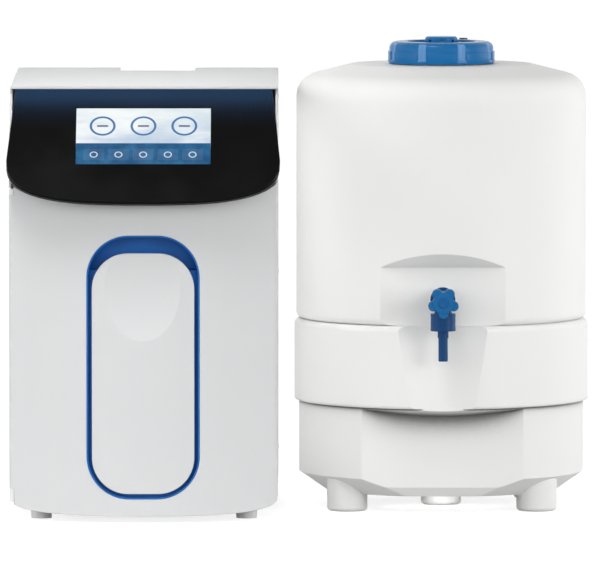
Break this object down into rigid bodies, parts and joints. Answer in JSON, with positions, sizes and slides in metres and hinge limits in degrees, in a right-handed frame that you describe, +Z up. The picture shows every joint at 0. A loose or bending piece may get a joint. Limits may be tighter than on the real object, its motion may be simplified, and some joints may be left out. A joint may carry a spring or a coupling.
{
  "type": "laboratory water purification system",
  "caption": "Bench water purifier: white cabinet with sloped black touch panel and hinged front door with blue grip, beside a round white storage tank with blue screw cap and tap.",
  "frame": {"origin": "on the bench, under the middle of the pair's bounding box", "axes": "+X to the right as seen from the front, +Y to the back, +Z up; cabinet at -X, tank at +X"},
  "size_m": [0.746, 0.543, 0.6065],
  "materials": {
    "casing": "satin",
    "painted_sheet": "satin",
    "tank_plastic": "matte",
    "trim_blue": "gloss",
    "cap_blue": "gloss",
    "tap_blue": "gloss",
    "black_glass": "gloss",
    "display": "gloss",
    "board": "satin",
    "steel": "brushed",
    "dark_plastic": "satin",
    "pale_plastic": "satin",
    "membrane_white": "matte",
    "resin_amber": "gloss",
    "rubber_grey": "matte",
    "seal": "matte"
  },
  "bodies": {
    "cabinet_and_tank": {"base_tray": "painted_sheet", "cabinet_feet": "rubber_grey", "left_side_panel": "casing", "right_side_panel": "casing", "rear_panel": "painted_sheet", "top_cover": "casing", "head_housing": "casing", "head_glass": "black_glass", "display_module": "display", "control_board": "board", "hinge_pins": "steel", "upper_hinge_bracket": "painted_sheet", "door_magnets": "dark_plastic", "mounting_plate": "painted_sheet", "cartridge_cradle": "pale_plastic", "filter_manifold": "pale_plastic", "pretreatment_cartridge": "pale_plastic", "membrane_cartridge": "membrane_white", "polishing_cartridge": "resin_amber", "pump_bracket": "painted_sheet", "pump_motor": "dark_plastic", "pump_head": "dark_plastic", "uv_reactor": "steel", "uv_clips": "dark_plastic", "power_supply": "steel", "solenoid_valves": "dark_plastic", "rear_ports": "dark_plastic", "rear_port_nuts": "dark_plastic", "rear_port_rings": "pale_plastic", "power_inlet": "dark_plastic", "switch_bezel": "dark_plastic", "tank_base": "tank_plastic", "tank_feet": "tank_plastic", "tank_barrel": "tank_plastic", "tank_neck": "tank_plastic", "tank_ports": "dark_plastic", "tank_port_nuts": "dark_plastic", "tank_port_rings": "pale_plastic", "level_gland": "dark_plastic", "level_rod": "steel", "neck_gasket": "seal", "tap_gasket": "seal", "tap_body": "tap_blue", "tap_nut": "dark_plastic", "tap_bonnet": "tap_blue", "spout_nut": "tap_blue", "tap_spout": "tap_blue"},
    "door": {"front_door": "casing", "door_liner": "trim_blue", "grip_panel": "casing"},
    "rocker": {"power_rocker": "dark_plastic"},
    "lid": {"lid_disc": "cap_blue", "vent_cap": "cap_blue", "vent_filter": "membrane_white"},
    "screw_ring": {"lid_ring": "cap_blue"},
    "float": {"level_float": "tank_plastic"},
    "valve": {"tap_disc": "seal"},
    "handle": {"tap_stem": "steel", "tap_knob": "tap_blue"}
  },
  "joints": [
    {"name": "front_door_hinge", "type": "hinge", "parent": "cabinet_and_tank", "child": "door", "pos_m": [-0.364, -0.2035, 0.225], "axis": [0, 0, -1], "range_deg": [0, 100]},
    {"name": "power_rocker_pivot", "type": "hinge", "parent": "cabinet_and_tank", "child": "rocker", "pos_m": [-0.094, 0.2425, 0.11], "axis": [-1, 0, 0], "range_deg": [0, 16]},
    {"name": "lid_lift", "type": "slide", "parent": "cabinet_and_tank", "child": "lid", "axis": [0, 0, 1], "range_m": [0, 0.1]},
    {"name": "screw_ring_turn", "type": "hinge", "parent": "lid", "child": "screw_ring", "pos_m": [0.183, 0.04, 0.58], "axis": [0, 0, 1], "range_deg": [0, 720]},
    {"name": "float_rise", "type": "slide", "parent": "cabinet_and_tank", "child": "float", "axis": [0, 0, 1], "range_m": [0, 0.236]},
    {"name": "valve_lift", "type": "slide", "parent": "cabinet_and_tank", "child": "valve", "axis": [0, -1, 0], "range_m": [0, 0.0061]},
    {"name": "tap_knob_turn", "type": "hinge", "parent": "valve", "child": "handle", "pos_m": [0.183, -0.191, 0.277], "axis": [0, -1, 0], "range_deg": [0, 720]}
  ],
  "couplings": [
    {"joint": "valve_lift", "follows": "tap_knob_turn", "m_per_rad": 0.00047746}
  ]
}
